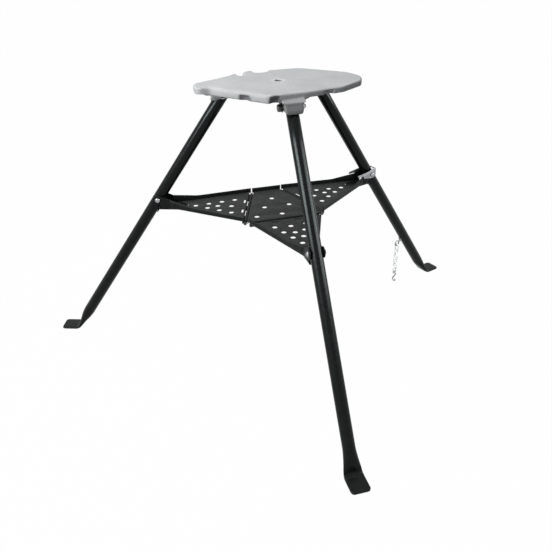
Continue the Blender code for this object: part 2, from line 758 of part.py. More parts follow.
def chain(group, zinc, dark):
    """An eye on the right leg, links that alternate, and an open hook near the floor."""
    azimuth = AZIMUTH["right"]
    base = Vector((leg_u(EYE_Z), 0.0, EYE_Z))
    pad_out = TUBE_SIDE + EYE_PAD_T
    centre = base - LEG_OUT * EYE_OUT
    across = Matrix(((LEG_DIR.x, 0, LEG_OUT.x), (0, 1, 0), (LEG_DIR.z, 0, LEG_OUT.z))).to_4x4()
    pad = block(-EYE_PAD_LEN / 2, EYE_PAD_LEN / 2, -EYE_PAD_W / 2, EYE_PAD_W / 2, -pad_out, -TUBE_SIDE)
    pad.transform(Matrix.Translation(base) @ across)
    stem = rod(base - LEG_OUT * (pad_out - 0.001), base - LEG_OUT * (pad_out + EYE_STEM), WIRE_R * 1.2, 8)
    ring = [centre + LEG_DIR * (EYE_R * c) + LEG_OUT * (EYE_R * s) for c, s in circle(0, 0, 1, 20)]
    eye = add(pad, stem, wire(ring, WIRE_R, True))
    keep(group, eye, dark, base, {"chain_eye": azimuth})
    top = centre.z - EYE_R + BITE
    for i in range(LINK_COUNT):
        link = wire(link_path(centre.x, top - i * LINK_STEP, i % 2 == 0), WIRE_R, True)
        keep(group, link, zinc, centre, {"chain_link_%d" % (i + 1): azimuth})
    hook = wire(hook_path(centre.x, top - LINK_COUNT * LINK_STEP, LINK_COUNT % 2 == 0), WIRE_R, False)
    keep(group, hook, dark, centre, {"chain_hook": azimuth})


def in_plane(u, points, across):
    if across:
        return [Vector((u, w, z)) for w, z in points]
    return [Vector((u + w, 0.0, z)) for w, z in points]


def link_path(u, top, across):
    """An oval link: two half circles joined by straights."""
    points = []
    upper = top - LINK_BEND
    for middle, first in ((upper, 0.0), (upper - LINK_STRAIGHT, pi)):
        for k in range(7):
            turn = first + pi * k / 6
            points.append((LINK_BEND * cos(turn), middle + LINK_BEND * sin(turn)))
    return in_plane(u, points, across)


def hook_path(u, top, across):
    """An S hook: one bend round the last link, one open bend below."""
    points = []
    upper = top - HOOK_BEND
    lower = upper - HOOK_BEND - HOOK_REACH * tan(pi / 3)
    for k in range(13):
        turn = radians(-40) + radians(250) * k / 12
        points.append((HOOK_BEND * cos(turn), upper + HOOK_BEND * sin(turn)))
    for k in range(13):
        turn = radians(30) - radians(220) * k / 12
        points.append((HOOK_BEND * cos(turn), lower + HOOK_BEND * sin(turn)))
    return in_plane(u, points, across)


def centre_on_floor(group):
    """Move everything so the plan of its bounding box is centred on the origin."""
    bpy.context.view_layer.update()
    corners = [item.matrix_world @ v.co for item in group.objects for v in item.data.vertices]
    low = [min(corner[k] for corner in corners) for k in range(3)]
    high = [max(corner[k] for corner in corners) for k in range(3)]
    for item in group.objects:
        item.location -= Vector(((low[0] + high[0]) / 2, (low[1] + high[1]) / 2, low[2]))


def main():
    wipe()
    group = collection("pipe_threader_stand")
    cast = material("cast_plate", (0.62, 0.62, 0.61), 0.3, 0.55)
    black = material("leg_paint", (0.012, 0.012, 0.013), 0.0, 0.3)
    tray = material("tray_paint", (0.035, 0.036, 0.038), 0.0, 0.45)
    steel = material("dark_steel", (0.08, 0.08, 0.085), 0.8, 0.45)
    zinc = material("zinc", (0.66, 0.67, 0.68), 0.9, 0.32)
    keep(group, top_plate(), cast, (0, 0, 0), {"top_plate": 0.0})
    keep(group, leg(), black, PIVOT, each("leg_"))
    pivot_bolts(group, steel)
    keep(group, tray_centre(), tray, (0, 0, 0), {"tray_centre": 0.0})
    keep(group, wing(), tray, HINGE, each("tray_wing_"))
    keep(group, hinge_pin(), steel, HINGE, each("hinge_pin_"))
    tray_screws(group, zinc, steel)
    keep(group, rest_bracket(), black, PIVOT, each("tray_rest_"))
    keep(group, strap(), zinc, PIN, {"leg_strap": AZIMUTH["right"]})
    chain(group, zinc, steel)
    centre_on_floor(group)


main()
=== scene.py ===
"""Folding three-leg stand with a hinged tray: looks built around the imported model.

Metres, in the model's own frame. Like the solids, each leg's pieces are drawn once in a
local frame, X outward along the leg, Y across it, Z up, and then turned to the leg.
"""

import json
from math import acos, atan, atan2, cos, hypot, pi, radians, sin, tan

import bmesh
import bpy
from mathutils import Matrix, Vector


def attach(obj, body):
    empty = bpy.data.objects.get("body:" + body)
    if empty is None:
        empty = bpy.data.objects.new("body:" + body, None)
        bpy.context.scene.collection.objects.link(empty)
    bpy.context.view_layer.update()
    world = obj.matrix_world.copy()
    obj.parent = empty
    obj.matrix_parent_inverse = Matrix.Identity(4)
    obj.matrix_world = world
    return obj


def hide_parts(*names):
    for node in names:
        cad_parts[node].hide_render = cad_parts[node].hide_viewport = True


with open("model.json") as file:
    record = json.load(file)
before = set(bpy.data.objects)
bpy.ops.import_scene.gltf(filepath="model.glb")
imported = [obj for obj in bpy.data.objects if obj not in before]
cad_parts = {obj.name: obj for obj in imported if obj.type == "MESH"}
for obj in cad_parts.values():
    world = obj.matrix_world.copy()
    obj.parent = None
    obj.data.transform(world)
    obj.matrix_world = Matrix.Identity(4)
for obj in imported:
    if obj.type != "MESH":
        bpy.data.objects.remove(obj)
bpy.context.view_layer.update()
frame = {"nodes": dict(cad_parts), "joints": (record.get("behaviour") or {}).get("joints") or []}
NODES = frame["nodes"]
JOINTS = {joint["name"]: joint for joint in frame["joints"]}

# Layout, in the values of the solids
REAR_AZ = radians(19.0)
LEG_TILT = radians(34.0)
AZIMUTH = {"front": -pi / 2, "left": pi - REAR_AZ, "right": REAR_AZ}
RIGHT_PIVOT = Vector(JOINTS["leg_right_fold"]["pos_m"])
PIVOT_U = RIGHT_PIVOT.x / cos(REAR_AZ)
PIVOT_Z = RIGHT_PIVOT.z
STAND_Y = RIGHT_PIVOT.y - PIVOT_U * sin(REAR_AZ)
MIDDLE = Matrix.Translation((0, STAND_Y, 0))
PLACE = {side: MIDDLE @ Matrix.Rotation(turn, 4, "Z") for side, turn in AZIMUTH.items()}
GAP = 0.0003
PLATE_LOW, PLATE_TOP = 0.756, 0.777
SOCKET_CHEEK = 0.0063
PIN_R, PIN_Z = 0.335, 0.443
TUBE_R, TUBE_WALL, TUBE_OVER = 0.015875, 0.0025, 0.010
LEG_DIR = Vector((sin(LEG_TILT), 0.0, -cos(LEG_TILT)))
LEG_OUT = Vector((cos(LEG_TILT), 0.0, sin(LEG_TILT)))
SHEET = 0.002
TRAY_Z = 0.420
HINGE_R, HINGE_Z = 0.082, 0.4125
WING_HALF, WING_END = 0.103, 0.300
EAR_IN, EAR_T = TUBE_R + 0.0012, 0.0025
EAR_OUT = EAR_IN + EAR_T
SLOT_END = PIN_R - 0.082
EDGE_TURN = atan((WING_HALF - EAR_OUT) / (WING_END - HINGE_R))


def leg_u(z):
    return PIN_R + (PIN_Z - z) * tan(LEG_TILT)


def edge_half(u):
    return WING_HALF - (u - HINGE_R) * tan(EDGE_TURN)


def link(piece):
    bpy.context.scene.collection.objects.link(piece)
    return piece


# Camera at the photograph's viewing angle
RIGHT = Vector((0.96191, -0.27308, -0.01251))
DOWN = Vector((-0.14822, -0.48256, -0.86323))
AHEAD = Vector((0.22969, 0.83220, -0.50466))
CAMERA_AT = Vector((-0.4619, -1.4279, 1.1930))
FOCAL_PX = 663.116
FRAME_PX = 552


def make_camera():
    data = bpy.data.cameras.new("camera")
    data.sensor_fit = "HORIZONTAL"
    data.sensor_width = 36.0
    data.lens = FOCAL_PX / FRAME_PX * data.sensor_width
    camera = link(bpy.data.objects.new("camera", data))
    turn = Matrix((RIGHT, -DOWN, -AHEAD)).transposed().to_4x4()
    camera.matrix_world = Matrix.Translation(CAMERA_AT) @ turn
    bpy.context.scene.camera = camera


make_camera()


# Floor, backdrop and light
WHITE = (1.0, 1.0, 1.0, 1.0)
AMBIENT, AMBIENT_TINT = 0.17, (0.93, 0.97, 1.0, 1.0)
FLOOR_GREY, FLOOR_WHITE = (0.30, 0.30, 0.30, 1.0), 0.99
FLOOR_REACH, FLOOR_DROP = 40.0, 0.0005


def shader_tree(mat):
    mat.use_nodes = True
    tree = mat.node_tree
    tree.nodes.clear()
    return tree, tree.nodes.new("ShaderNodeOutputMaterial")


def seen_directly(tree):
    """One for camera, glossy and transmitted rays, which see the pale backdrop."""
    path = tree.nodes.new("ShaderNodeLightPath")
    total = None
    for name in ("Is Camera Ray", "Is Glossy Ray", "Is Transmission Ray"):
        if total is None:
            total = path.outputs[name]
            continue
        join = tree.nodes.new("ShaderNodeMath")
        join.operation = "MAXIMUM"
        tree.links.new(total, join.inputs[0])
        tree.links.new(path.outputs[name], join.inputs[1])
        total = join.outputs[0]
    return total


def make_world():
    world = bpy.data.worlds.new("studio")
    bpy.context.scene.world = world
    world.use_nodes = True
    tree = world.node_tree
    tree.nodes.clear()
    out = tree.nodes.new("ShaderNodeOutputWorld")
    ambient = tree.nodes.new("ShaderNodeBackground")
    ambient.inputs["Color"].default_value = AMBIENT_TINT
    ambient.inputs["Strength"].default_value = AMBIENT
    pale = tree.nodes.new("ShaderNodeBackground")
    pale.inputs["Color"].default_value = WHITE
    mix = tree.nodes.new("ShaderNodeMixShader")
    tree.links.new(seen_directly(tree), mix.inputs["Fac"])
    tree.links.new(ambient.outputs[0], mix.inputs[1])
    tree.links.new(pale.outputs[0], mix.inputs[2])
    tree.links.new(mix.outputs[0], out.inputs["Surface"])


def make_floor():
    mat = bpy.data.materials.new("floor")
    tree, out = shader_tree(mat)
    matt = tree.nodes.new("ShaderNodeBsdfDiffuse")
    matt.inputs["Color"].default_value = FLOOR_GREY
    pale = tree.nodes.new("ShaderNodeEmission")
    mix = tree.nodes.new("ShaderNodeMixShader")
    part = tree.nodes.new("ShaderNodeMath")
    part.operation = "MULTIPLY"
    part.inputs[1].default_value = FLOOR_WHITE
    tree.links.new(seen_directly(tree), part.inputs[0])
    tree.links.new(part.outputs[0], mix.inputs["Fac"])
    tree.links.new(matt.outputs[0], mix.inputs[1])
    tree.links.new(pale.outputs[0], mix.inputs[2])
    tree.links.new(mix.outputs[0], out.inputs["Surface"])
    mesh = bpy.data.meshes.new("floor")
    bm = bmesh.new()
    bmesh.ops.create_circle(bm, cap_ends=True, segments=64, radius=FLOOR_REACH)
    bm.to_mesh(mesh)
    bm.free()
    mesh.materials.append(mat)
    floor = link(bpy.data.objects.new("floor", mesh))
    floor.location.z = -FLOOR_DROP


def make_light(name, at, aim, up, size, watts, lights=True, shines=True):
    """A soft panel that lights matt surfaces, shows in glossy ones, or does both."""
    data = bpy.data.lights.new(name, "AREA")
    data.shape = "RECTANGLE"
    data.size, data.size_y = size
    data.energy = watts
    lamp = link(bpy.data.objects.new(name, data))
    away = (Vector(at) - Vector(aim)).normalized()
    across = Vector(up).cross(away).normalized()
    turn = Matrix((across, away.cross(across), away)).transposed().to_4x4()
    lamp.matrix_world = Matrix.Translation(at) @ turn
    lamp.visible_diffuse = lights
    lamp.visible_glossy = shines


make_world()
make_floor()
# The two panels face a point on the front leg, and make the long streaks on the tubes
SHIN = Vector((0.0, -0.019, 0.585))
SHIN_UP = (0.0, sin(LEG_TILT), cos(LEG_TILT))
make_light("key", (-0.3, 0.7, 2.9), (0.0, 0.1, 0.5), (0, 1, 0), (2.0, 2.0), 27.0)
make_light("left_fill", (-2.15, -0.40, 2.00), (0.0, 0.0, 0.70), (0, 0, 1), (1.2, 0.9), 66.0,
           shines=False)
make_light("left_panel", (-2.075, -0.673, 1.586), SHIN, SHIN_UP, (1.75, 0.77), 93.0, lights=False)
make_light("right_panel", (2.023, -0.904, 1.4535), SHIN, SHIN_UP, (2.4, 0.85), 77.0, lights=False)

bpy.context.scene.view_settings.view_transform = "Standard"


# Materials
class Surface:
    """A Principled material with a few helpers for its procedural nodes."""

    def __init__(self, name, colour, metallic, roughness):
        self.mat = bpy.data.materials.new(name)
        self.tree, out = shader_tree(self.mat)
        self.shader = self.tree.nodes.new("ShaderNodeBsdfPrincipled")
        self.shader.inputs["Base Color"].default_value = (*colour, 1.0)
        self.shader.inputs["Metallic"].default_value = metallic
        self.shader.inputs["Roughness"].default_value = roughness
        self.mat.diffuse_color = (*colour, 1.0)
        self.tree.links.new(self.shader.outputs[0], out.inputs["Surface"])
        self.place = self.tree.nodes.new("ShaderNodeTexCoord").outputs["Object"]

    def node(self, kind, **values):
        made = self.tree.nodes.new(kind)
        for name, value in values.items():
            setattr(made, name, value)
        return made

    def noise(self, scale, detail=2.0, rough=0.5):
        made = self.node("ShaderNodeTexNoise")
        made.inputs["Scale"].default_value = scale
        made.inputs["Detail"].default_value = detail
        made.inputs["Roughness"].default_value = rough
        self.tree.links.new(self.place, made.inputs["Vector"])
        return made.outputs["Fac"]

    def ramp(self, source, low, high, first, last):
        """A value or colour that goes from first to last as source goes from low to high."""
        made = self.node("ShaderNodeValToRGB")
        ends = made.color_ramp.elements
        ends[0].position, ends[1].position = low, high
        for end, value in zip(ends, (first, last)):
            end.color = (*value, 1.0) if isinstance(value, tuple) else (value, value, value, 1.0)
        self.tree.links.new(source, made.inputs["Fac"])
        return made.outputs["Color"]

    def blend(self, share, first, last, kind="MIX"):
        """Two colours mixed, or the second laid on the first by another kind of mix."""
        made = self.node("ShaderNodeMix", data_type="RGBA", blend_type=kind)
        sockets = [made.inputs[i] for i in (0, 6, 7)]
        for socket, value in zip(sockets, (share, first, last)):
            if isinstance(value, tuple):
                socket.default_value = (*value, 1.0)
            elif isinstance(value, float):
                socket.default_value = value
            else:
                self.tree.links.new(value, socket)
        return made.outputs[2]

    def height(self):
        """Height above the floor at rest, in metres."""
        made = self.node("ShaderNodeSeparateXYZ")
        self.tree.links.new(self.place, made.inputs[0])
        return made.outputs["Z"]

    def distance(self, point):
        made = self.node("ShaderNodeVectorMath", operation="DISTANCE")
        made.inputs[1].default_value = point
        self.tree.links.new(self.place, made.inputs[0])
        return made.outputs["Value"]

    def set(self, name, source):
        self.tree.links.new(source, self.shader.inputs[name])

    def bump(self, *layers):
        """Bump from pairs of source and depth in metres, each on top of the last."""
        normal = None
        for source, depth in layers:
            made = self.node("ShaderNodeBump")
            made.inputs["Strength"].default_value = 1.0
            made.inputs["Distance"].default_value = depth
            self.tree.links.new(source, made.inputs["Height"])
            if normal is not None:
                self.tree.links.new(normal, made.inputs["Normal"])
            normal = made.outputs["Normal"]
        self.set("Normal", normal)


# Points of the casting that its shape and its painted shade share
HUB = Vector((0.0, STAND_Y - 0.026, PLATE_TOP))
BORE = Vector((0.0, STAND_Y - 0.026, PLATE_TOP - 0.012))
CORNER = Vector((-0.046, STAND_Y - 0.163, 0.760))
NOTCH = Vector((-0.1158, STAND_Y - 0.1171, 0.762))
NOTCH_R, NOTCH_LOW, NOTCH_TOP = 0.0168, 0.745, 0.7725
SOCKET = Vector((0.0, STAND_Y - 0.150, 0.738))
# Heights of the painted shade below the rim round the front socket: full below the first, none
# above the second.
SOCKET_SHADE_FULL, SOCKET_SHADE_END = 0.751, 0.757


def cast_grey():
    """Cast plate: sand grain, broad mottling, a pale ring round the hole, painted shade in the
    bore, in the recesses and below the rim round the front socket.
    """
    s = Surface("cast_plate", (0.545, 0.555, 0.560), 0.0, 0.55)
    broad = s.ramp(s.noise(16.0, 5.0, 0.62), 0.30, 0.72,
                   (0.490, 0.502, 0.508), (0.575, 0.584, 0.586))
    speck = s.ramp(s.noise(620.0, 2.0), 0.38, 0.62, 0.86, 1.0)
    cast = s.blend(1.0, broad, speck, "MULTIPLY")
    ring = s.ramp(s.distance(HUB), 0.0170, 0.0220, 1.0, 0.0)
    cast = s.blend(ring, cast, (0.585, 0.595, 0.60))
    # Painted shade: darker inside the bore under the hole and in the recess at the front corner.
    for point, near, far in ((BORE, 0.0125, 0.0150), (CORNER, 0.0150, 0.0185)):
        recess = s.ramp(s.distance(point), near, far, 0.30, 1.0)
        cast = s.blend(1.0, cast, recess, "MULTIPLY")
    # Painted shade: near black inside the notch at the front left, below its top.
    within = s.ramp(s.distance(NOTCH), NOTCH_R + 0.001, NOTCH_R + 0.004, 1.0, 0.0)
    below = s.ramp(s.height(), NOTCH_TOP - 0.004, NOTCH_TOP, 1.0, 0.0)
    cast = s.blend(s.blend(1.0, within, below, "MULTIPLY"), cast, (0.11, 0.11, 0.12))
    # Painted shade: darker below the rim round the front socket, which lies in shade.
    low = s.ramp(s.height(), SOCKET_SHADE_FULL, SOCKET_SHADE_END, 0.52, 1.0)
    around_socket = s.ramp(s.distance(SOCKET), 0.035, 0.060, 1.0, 0.0)
    painted_shade = s.blend(around_socket, (1.0, 1.0, 1.0), low)
    s.set("Base Color", s.blend(1.0, cast, painted_shade, "MULTIPLY"))
    s.set("Roughness", s.ramp(s.noise(90.0, 3.0), 0.3, 0.7, 0.56, 0.72))
    s.bump((s.noise(60.0, 3.0), 0.0005), (s.noise(640.0, 2.0), 0.0002))
    s.shader.inputs["Specular IOR Level"].default_value = 0.10
    return s.mat


def gloss_black(name, low, high, rough_low, rough_high):
    """Black enamel, duller towards the floor, with faint dust and orange peel."""
    s = Surface(name, (0.006, 0.006, 0.007), 0.0, 0.3)
    s.set("Base Color", s.ramp(s.noise(55.0, 5.0, 0.65), 0.42, 0.78,
                               (0.0035, 0.0038, 0.004), (0.010, 0.010, 0.010)))
    fade = s.ramp(s.height(), low, high, rough_low, rough_high)
    grain = s.ramp(s.noise(140.0, 4.0, 0.6), 0.35, 0.7, 0.0, 0.08)
    s.set("Roughness", s.blend(1.0, fade, grain, "ADD"))
    s.bump((s.noise(260.0, 1.0), 0.00004))
    s.shader.inputs["Specular IOR Level"].default_value = 0.13
    s.shader.inputs["Specular Tint"].default_value = (0.88, 1.0, 1.0, 1.0)
    return s.mat


def tray_grey():
    """Worn dark paint on the tray's floor: scuffs, fine grain, dust."""
    s = Surface("tray_floor", (0.050, 0.051, 0.053), 0.0, 0.5)
    dust = s.ramp(s.noise(34.0, 6.0, 0.65), 0.30, 0.75,
                  (0.030, 0.031, 0.032), (0.051, 0.051, 0.051))
    speck = s.ramp(s.noise(480.0, 2.0), 0.36, 0.66, 0.82, 1.12)
    s.set("Base Color", s.blend(1.0, dust, speck, "MULTIPLY"))
    s.set("Roughness", s.ramp(s.noise(150.0, 3.0), 0.3, 0.7, 0.56, 0.74))
    s.bump((s.noise(520.0, 2.0), 0.00007))
    s.shader.inputs["Specular IOR Level"].default_value = 0.10
    return s.mat


def plated(name, dull, bright, metallic):
    """Zinc plating: cloudy between a dull and a bright tone."""
    s = Surface(name, bright, metallic, 0.32)
    s.set("Base Color", s.ramp(s.noise(110.0, 3.0, 0.5), 0.25, 0.75, dull, bright))
    s.set("Roughness", s.ramp(s.noise(260.0, 3.0), 0.3, 0.7, 0.36, 0.52))
    s.bump((s.noise(500.0, 2.0), 0.00002))
    return s.mat


def dark_steel():
    s = Surface("dark_steel", (0.05, 0.05, 0.054), 0.75, 0.42)
    s.set("Base Color", s.ramp(s.noise(180.0, 4.0, 0.6), 0.35, 0.7,
                               (0.030, 0.030, 0.033), (0.085, 0.083, 0.082)))
    s.set("Roughness", s.ramp(s.noise(240.0, 3.0), 0.3, 0.7, 0.34, 0.52))
    s.bump((s.noise(420.0, 2.0), 0.00008))
    return s.mat


CAST = cast_grey()
ENAMEL = gloss_black("leg_enamel", 0.10, 0.45, 0.26, 0.20)
EDGE_PAINT = gloss_black("tray_edge_paint", 0.0, 1.0, 0.38, 0.38)
FLOOR_PAINT = tray_grey()
ZINC = plated("zinc", (0.19, 0.20, 0.21), (0.38, 0.39, 0.40), 0.9)
PALE_ZINC = plated("chain_zinc", (0.62, 0.63, 0.64), (0.80, 0.80, 0.80), 1.0)
STEEL = dark_steel()


# Outlines and mesh helpers, in the local frame
CREASE = 38.0
EDGE, FINE_EDGE = 0.0004, 0.0003
WELD, NODE_WELD, FLAT_TURN = 0.000002, 0.00001, 0.002
HEX_EASE = ((0.0, 0.97), (0.06, 1.2), (0.72, 1.2), (0.88, 1.07), (1.0, 0.95))


def clamp(share):
    return min(max(share, 0.0), 1.0)


def arc(cx, cy, radius, first, last, steps):
    """Points along an arc from one angle to another, both ends included."""
    turns = [first + (last - first) * k / steps for k in range(steps + 1)]
    return [(cx + radius * cos(turn), cy + radius * sin(turn)) for turn in turns]


def circle(cx, cy, radius, count):
    return arc(cx, cy, radius, 0.0, 2 * pi, count)[:-1]


def oblong(x0, y0, x1, y1):
    return [(x0, y0), (x1, y0), (x1, y1), (x0, y1)]


def loft(bm, rings, closed=False):
    """A skin through rings of the same number of points, capped unless it closes on itself."""
    made = [[bm.verts.new(point) for point in ring] for ring in rings]
    pairs = list(zip(made, made[1:]))
    if closed:
        pairs.append((made[-1], made[0]))
    for first, second in pairs:
        for i in range(len(first)):
            bm.faces.new((first[i - 1], first[i], second[i], second[i - 1]))
    if not closed:
        bm.faces.new(made[0])
        bm.faces.new(made[-1])


def around(centre, profile, sides=32):
    """Rings about the axis across the leg, from pairs of radius and Y."""
    rings = []
    for radius, y in profile:
        spots = circle(centre.x, centre.z, radius, sides)
        rings.append([Vector((x, y, z)) for x, z in spots])
    return rings


def turn_solid(bm, centre, profile, sides=32):
    loft(bm, around(centre, profile, sides))


def collar(bm, centre, bore, radius, low, high, ease, sides=32):
    """A bored disc or barrel between two Y values, its outer edges eased across and along."""
    across, along = ease
    profile = ((bore, low), (radius - across, low), (radius, low + along),
               (radius, high - along), (radius - across, high), (bore, high))
    loft(bm, around(centre, profile, sides), closed=True)


def hexagon(bm, centre, flats, low, high, bore=0.0):
    """A hexagon across the leg, its far corners chamfered, bored if a radius is given."""
    sides = 48
    depth = high - low
    rings = []
    for share, limit in HEX_EASE:
        ring = []
        for i in range(sides):
            turn = 2 * pi * i / sides
            reach = flats / 2 / cos((turn + pi / 6) % (pi / 3) - pi / 6)
            reach = min(reach, flats / 2 * limit)
            x, z = centre.x + reach * cos(turn), centre.z + reach * sin(turn)
            ring.append(Vector((x, low + depth * share, z)))
        rings.append(ring)
    if bore:
        mouth = ((bore * 1.1, high), (bore, high - depth * 0.1), (bore, low))
        rings += around(centre, mouth, sides)
    loft(bm, rings, closed=bool(bore))


def tube(bm, path, radius, closed=False):
    """A round wire along points, turned as little as possible from point to point."""
    count, sides = len(path), 14
    rings = []
    side = None
    for i, here in enumerate(path):
        before = path[i - 1] if closed or i else here
        after = path[(i + 1) % count] if closed or i < count - 1 else here
        run = (after - before).normalized()
        if side is None:
            side = run.orthogonal().normalized()
        side = (side - run * side.dot(run)).normalized()
        over = run.cross(side)
        rings.append([here + side * a + over * b for a, b in circle(0, 0, radius, sides)])
    if closed:
        loft(bm, rings, closed=True)
        return
    ends = []
    for end, inner in ((0, 1), (-1, -2)):
        here = path[end]
        push = (here - path[inner]).normalized() * radius * 0.5
        ends.append([here + push + (point - here) * 0.6 for point in rings[end]])
    loft(bm, [ends[0], *rings, ends[1]])


def sheet(bm, outlines, thick, place, edge):
    """A flat sheet with holes and rounded edges, from a filled curve."""
    curve = bpy.data.curves.new("outline", "CURVE")
    curve.dimensions = "2D"
    curve.fill_mode = "BOTH"
    curve.extrude = thick / 2 - edge
    curve.bevel_depth = edge
    curve.bevel_resolution = 1
    curve.offset = -edge
    for outline in outlines:
        spline = curve.splines.new("POLY")
        spline.points.add(len(outline) - 1)
        for point, (x, y) in zip(spline.points, outline):
            point.co = (x, y, 0.0, 1.0)
        spline.use_cyclic_u = True
    item = link(bpy.data.objects.new("outline", curve))
    graph = bpy.context.evaluated_depsgraph_get()
    mesh = bpy.data.meshes.new_from_object(item.evaluated_get(graph))
    bpy.data.objects.remove(item, do_unlink=True)
    mesh.transform(place)
    bm.from_mesh(mesh)
    bpy.data.meshes.remove(mesh)


def flat(bm, outlines, low, high, edge, place=Matrix()):
    """A level sheet between two heights."""
    lift = Matrix.Translation((0, 0, (low + high) / 2))
    sheet(bm, outlines, high - low, place @ lift, edge)


def standing(bm, outline, low, high, edge):
    """An upright sheet, its outline in X and Z, between two Y values."""
    turn = Matrix.Translation((0, (low + high) / 2, 0)) @ Matrix.Rotation(pi / 2, 4, "X")
    sheet(bm, [outline], high - low, turn, edge)


def finish_mesh(bm, name, angle):
    bmesh.ops.remove_doubles(bm, verts=bm.verts[:], dist=WELD)
    bmesh.ops.recalc_face_normals(bm, faces=bm.faces[:])
    mesh = bpy.data.meshes.new(name)
    bm.to_mesh(mesh)
    bm.free()
    mesh.shade_smooth()
    mesh.set_sharp_from_angle(angle=radians(angle))
    return mesh


def put(name, bm, place, body, nodes, mat, angle=CREASE):
    """A finished piece: in place, riding on its body and standing for its nodes."""
    mesh = finish_mesh(bm, name, angle)
    mesh.transform(place)
    mesh.materials.append(mat)
    item = link(bpy.data.objects.new(name, mesh))
    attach(item, body)
    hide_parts(*nodes)
    return item


def modified(name, mesh, *steps):
    """A mesh after modifiers, each a kind and its settings."""
    item = link(bpy.data.objects.new(name, mesh))
    for kind, settings in steps:
        mod = item.modifiers.new(kind.lower(), kind)
        for key, value in settings.items():
            setattr(mod, key, value)
    graph = bpy.context.evaluated_depsgraph_get()
    done = bpy.data.meshes.new_from_object(item.evaluated_get(graph))
    bpy.data.objects.remove(item, do_unlink=True)
    bm = bmesh.new()
    bm.from_mesh(done)
    bpy.data.meshes.remove(done)
    return bm


def welded(node):
    """A copy of a node's mesh, joined along its sharp edges."""
    bm = bmesh.new()
    bm.from_mesh(NODES[node].data)
    bmesh.ops.remove_doubles(bm, verts=bm.verts[:], dist=NODE_WELD)
    bmesh.ops.dissolve_limit(bm, angle_limit=FLAT_TURN, verts=bm.verts[:], edges=bm.edges[:])
    mesh = bpy.data.meshes.new(node)
    bm.to_mesh(mesh)
    bm.free()
    return mesh


# Cast top plate: its edges softened as a casting's are
LUG = ((-0.0625, 0.070), (-0.0395, 0.070), (-0.0395, 0.0925),
       (-0.0435, 0.0970), (-0.0580, 0.0935), (-0.0625, 0.0890))
SHOULDER = ((-0.112, 0.050), (-0.0868, 0.050), (-0.0868, 0.0770),
            (-0.0895, 0.0795), (-0.112, 0.0640))
LUG_EDGE = 0.003
CLEFT_X, CLEFT_Y, CLEFT_HALF = -0.0778, 0.0585, 0.0085
CLEFT_FAR, CLEFT_LOW, CLEFT_HIGH = 0.12, 0.7545, 0.7945
LIP_AT = Vector((-0.178, STAND_Y - 0.040))
LIP_OUT, LIP_ALONG = Vector((-0.713, -0.701)), Vector((0.701, -0.713))
LIP_FIRST, LIP_LAST, LIP_FADE = -0.010, 0.175, 0.03
LIP_LOW, LIP_DEPTH, LIP_DROP, LIP_CURVE = 0.768, 0.013, 0.0042, 1.8
SOCKET_RIM, SOCKET_BEGIN = 0.7555, PIVOT_Z + 0.001
SOCKET_REACH, SOCKET_WIDE = 0.06, 0.032
SOCKET_SLIM, SOCKET_FADE = 0.8, 0.002
SOCKET_DROP, SOCKET_TAPER, SOCKET_CURVE = 0.0145, 0.97, 1.7
SOCKET_LENGTH = 0.80
SOCKET_EXTRA = {"front": 0.0, "left": 0.45, "right": 0.45}
OUTER_BACK, OUTER_FADE = 0.004, 0.012
VOXEL, SMOOTHINGS, KEPT_SHARE, CAST_CREASE = 0.0013, 7, 0.22, 75.0


def plate_tool():
    """The cutter: the deep notch at the plate's back, and more of the one at its front left."""
    cleft = [(CLEFT_X + CLEFT_HALF, CLEFT_FAR), (CLEFT_X - CLEFT_HALF, CLEFT_FAR)]
    cleft += arc(CLEFT_X, CLEFT_Y, CLEFT_HALF, pi, 2 * pi, 12)
    bm = bmesh.new()
    flat(bm, [cleft], CLEFT_LOW, CLEFT_HIGH, EDGE, MIDDLE)
    flat(bm, [circle(NOTCH.x, NOTCH.y, NOTCH_R, 32)], NOTCH_LOW, NOTCH_TOP, EDGE)
    return link(bpy.data.objects.new("plate_tool", finish_mesh(bm, "plate_tool", CREASE)))


def ease_lip(bm):
    """Round off the top edge along the plate's front left, which is broader than the rest."""
    for vert in bm.verts:
        step = vert.co.xy - LIP_AT
        depth, run = -step.dot(LIP_OUT), step.dot(LIP_ALONG)
        if vert.co.z > LIP_LOW and depth < LIP_DEPTH:
            ends = clamp((run - LIP_FIRST) / LIP_FADE) * clamp((LIP_LAST - run) / LIP_FADE)
            vert.co.z -= LIP_DROP * ends * (1 - max(depth, 0.0) / LIP_DEPTH) ** LIP_CURVE


def round_sockets(bm):
    """Slim each socket below the plate's rim, and draw its end in toward the leg below the bolt."""
    side = TUBE_R + GAP
    half = side + SOCKET_CHEEK
    for spoke, place in PLACE.items():
        back = place.inverted()
        for vert in bm.verts:
            at = back @ vert.co
            beside = abs(at.x - PIVOT_U) > SOCKET_REACH or abs(at.y) > SOCKET_WIDE
            if at.z > SOCKET_RIM or beside:
                continue
            way = 1 if at.y > 0 else -1
            slim = clamp((SOCKET_RIM - at.z) / SOCKET_FADE)
            if abs(at.y) > half:
                at.y = way * (half + (abs(at.y) - half) * (1 - SOCKET_SLIM * slim))
            if at.z < SOCKET_BEGIN:
                drop = clamp((SOCKET_BEGIN - at.z) / SOCKET_DROP)
                kept = (1 - SOCKET_TAPER * drop ** SOCKET_CURVE) ** 0.5
                if abs(at.y) > side:
                    at.y = way * (side + (abs(at.y) - side) * kept)
                face = leg_u(at.z) + side / cos(LEG_TILT)
                if at.x > face:
                    at.x = face + (at.x - face) * kept
                outer = clamp((at.x - leg_u(at.z) + OUTER_BACK) / OUTER_FADE)
                length = SOCKET_LENGTH + SOCKET_EXTRA[spoke] * outer
                lower = SOCKET_BEGIN - (SOCKET_BEGIN - at.z) * length
                at.x += max(at.z - lower, 0.0) * tan(LEG_TILT)
                at.z = lower
            vert.co = place @ at


